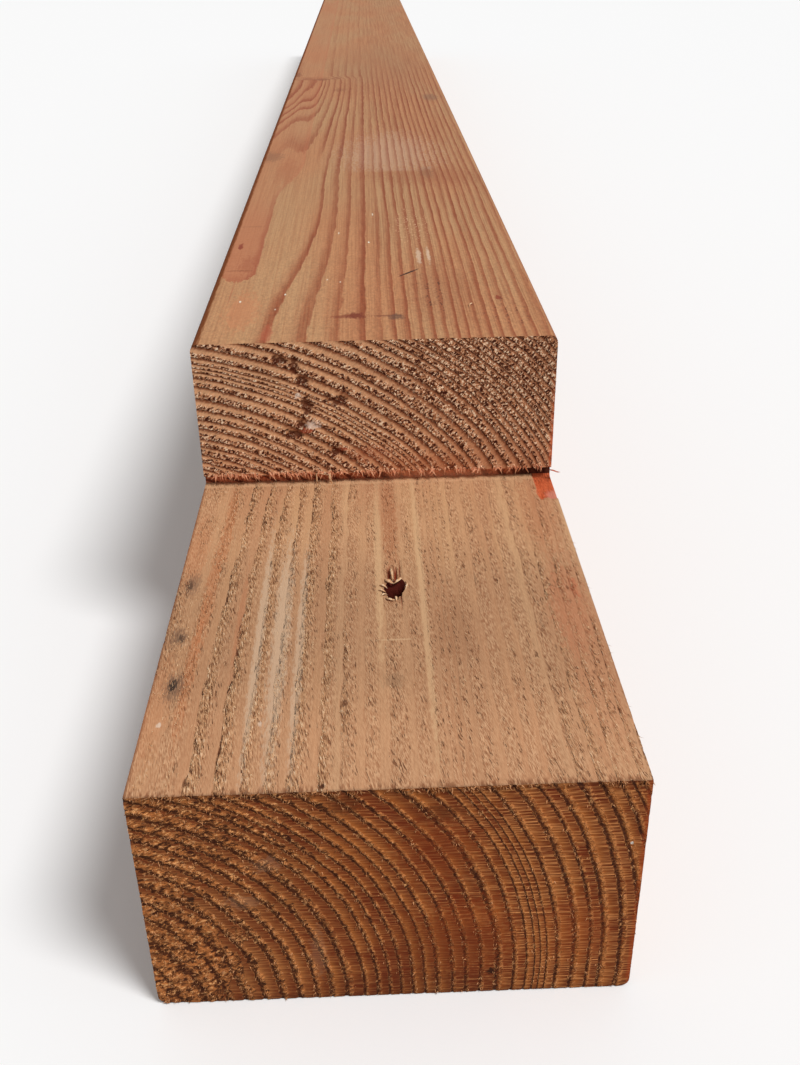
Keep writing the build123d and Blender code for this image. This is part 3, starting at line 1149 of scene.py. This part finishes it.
# The splinters. Larger pieces that the drill and the saw left hanging: pale curls round the mouth
# of the bolt hole, shreds that still bridge the kerf, and one shaving stuck to the planed face.
def splinter_finish(w):
    """Clean pale wood, a little streaked along the splinter."""
    streaks = w.grain((0.5, 1.6, 0.5), 91, 2.0)
    colour = w.blend(w.rise(streaks, 0.35, 0.65), (206, 150, 104), (244, 208, 168))
    x, _, _ = w.xyz
    colour = w.blend(w.rise(x, 70.5, 71.5), colour, (196, 96, 64))
    return {"Base Color": colour, "Roughness": 0.65}


splinter_material = finish("splinters", splinter_finish)
splinter_shape = bmesh.new()
# Each splinter: its path in millimetres, as points from the left side, from the shoulder and up,
# then its greatest width and its thickness.
for path, wide, thick in (
    (((73.6, -78.6, 83.0), (74.6, -80.6, 83.9), (75.8, -81.6, 83.6), (76.8, -81.2, 82.6)), 2.0, 0.7),
    (((79.6, -77.6, 83.0), (78.8, -79.6, 83.8), (77.8, -81.0, 83.7), (76.6, -81.4, 82.8)), 1.6, 0.6),
    (((76.0, -70.5, 83.0), (76.0, -73.6, 83.5), (76.2, -76.6, 83.5), (76.4, -79.8, 82.9)), 1.0, 0.5),
    (((71.6, -82.6, 83.0), (72.6, -83.2, 83.7), (73.5, -83.9, 83.5), (74.3, -84.2, 82.6)), 1.2, 0.5),
    (((71.2, -85.8, 83.0), (72.2, -86.1, 83.6), (73.0, -86.6, 83.3), (73.8, -86.7, 82.5)), 1.4, 0.5),
    (((71.9, -89.6, 83.0), (72.9, -89.2, 83.7), (73.8, -88.8, 83.3), (74.4, -88.2, 82.4)), 1.2, 0.5),
    (((73.6, -91.2, 83.1), (74.8, -92.6, 83.7), (76.0, -93.2, 83.6), (77.0, -92.6, 83.0)), 1.3, 0.6),
    (((77.2, -93.2, 83.0), (77.3, -91.9, 83.6), (77.1, -90.6, 83.3), (76.7, -89.4, 82.5)), 0.9, 0.5),
    (((80.9, -80.4, 83.1), (81.4, -82.4, 83.6), (81.1, -84.4, 83.5), (80.6, -86.0, 83.0)), 0.7, 0.4),
    (((46.6, -0.2, 87.8), (46.9, -0.9, 86.2), (46.8, -0.8, 84.6), (47.0, -0.3, 82.9)), 0.7, 0.35),
    (((52.6, -0.2, 87.9), (52.2, -1.1, 86.4), (52.6, -1.2, 84.8), (52.9, -0.4, 82.9)), 1.1, 0.4),
    (((46.2, -0.2, 87.6), (49.0, -0.9, 87.9), (51.0, -0.8, 87.2), (53.0, -0.3, 87.6)), 0.5, 0.3),
    (((144.2, -0.2, 86.4), (145.8, -0.8, 86.2), (147.4, -1.0, 85.6), (148.8, -0.8, 85.4)), 1.5, 0.5),
    (((113.0, 38.6, 145.1), (113.4, 40.0, 145.7), (114.4, 41.4, 145.9), (115.6, 42.0, 145.2)), 0.8, 0.3),
):
    sections = []
    centres = [Vector(at(*point)) / 1000 for point in path]
    for number, centre in enumerate(centres):
        along = centres[min(number + 1, 3)] - centres[max(number - 1, 0)]
        upright = abs(along.z) >= abs(along.y) + abs(along.x)
        over = along.cross(Vector((0, 1, 0) if upright else (0, 0, 1)))
        breadth = over.normalized() * (wide / 2000 * (0.35, 1.0, 0.8, 0.15)[number])
        depth = over.cross(along).normalized() * (thick / 2000 * (1.0, 0.9, 0.6, 0.2)[number])
        corners = (breadth + depth * 0.3, depth, depth * 0.3 - breadth, depth * -1)
        sections.append([splinter_shape.verts.new(centre + corner) for corner in corners])
    for near, far in zip(sections, sections[1:]):
        for i in range(4):
            splinter_shape.faces.new((near[i], near[i - 1], far[i - 1], far[i]))
    splinter_shape.faces.new(sections[0])
    splinter_shape.faces.new(sections[-1][::-1])
bmesh.ops.recalc_face_normals(splinter_shape, faces=splinter_shape.faces)
for face in splinter_shape.faces:
    face.smooth = True
splinter_mesh = bpy.data.meshes.new("splinters")
splinter_shape.to_mesh(splinter_mesh)
splinter_shape.free()
splinter_mesh.materials.append(splinter_material)
splinters = placed("splinters", splinter_mesh)
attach(splinters, "root")

# The plain pale floor that the post lies on. What the camera sees of it is white with the post's
# soft shadow, and it throws less light back up than a white sheet would.
stage_half = 8.0
stage_z = -0.0004
stage_mesh = bpy.data.meshes.new("pale_floor")
stage_corners = [(-1, -1), (1, -1), (1, 1), (-1, 1)]
stage_points = [(x * stage_half, y * stage_half, stage_z) for x, y in stage_corners]
stage_mesh.from_pydata(stage_points, [], [(0, 1, 2, 3)])
stage = placed("pale_floor", stage_mesh)


def pale_floor(w):
    """White to the camera, and greyer to the light that it throws back."""
    seen = w.use("ShaderNodeLightPath", output="Is Camera Ray")
    return {"Base Color": w.blend(seen, (0.4, 0.4, 0.4, 1.0), (0.97, 0.97, 0.97, 1.0)), "Roughness": 1.0}


stage_mesh.materials.append(finish("pale floor", pale_floor))

# The light: a soft sky all round, white where the camera sees it, and one soft lamp, high in front
# of the post and a little to its right, so that the sawn faces show their relief.
sky_level = 0.38
lamp_direction = Vector((0.42, -0.36, 0.83)).normalized()
world = bpy.data.worlds.new("soft sky")
bpy.context.scene.world = world
world.use_nodes = True
world.node_tree.nodes.clear()
w = Workings(world.node_tree)
seen = w.use("ShaderNodeLightPath", output="Is Camera Ray")
strength = seen * (1 - sky_level) + sky_level
sky = w.use("ShaderNodeBackground", None, {"Color": (1.0, 1.0, 1.0, 1.0), "Strength": strength})
w.node("ShaderNodeOutputWorld", None, {"Surface": sky})
lamp_data = bpy.data.lights.new("soft lamp", "SUN")
lamp_data.energy = (1 - sky_level) * math.pi / lamp_direction.z
lamp_data.angle = math.radians(20)
lamp = placed("soft lamp", lamp_data)
lamp.rotation_euler = lamp_direction.to_track_quat("Z", "Y").to_euler()

# The camera, where the photograph was taken from: in front of the tongue's end, above it, and
# looking down along the post.
camera_place = Vector((-0.00134, -1.48264, 0.2925))
to_right = Vector((0.99934, -0.03269, -0.0161))
downward = Vector((-0.02996, -0.4857, -0.87361))
forward = Vector((0.02073, 0.87352, -0.48636))
camera_data = bpy.data.cameras.new("camera")
camera_data.sensor_width = 36.0
camera_data.lens = 37.84
camera = placed("camera", camera_data)
turned = Matrix((to_right, -downward, -forward)).transposed().to_4x4()
camera.matrix_world = Matrix.Translation(camera_place) @ turned
bpy.context.scene.camera = camera

bpy.context.scene.view_settings.view_transform = "Standard"

bpy.context.view_layer.update()
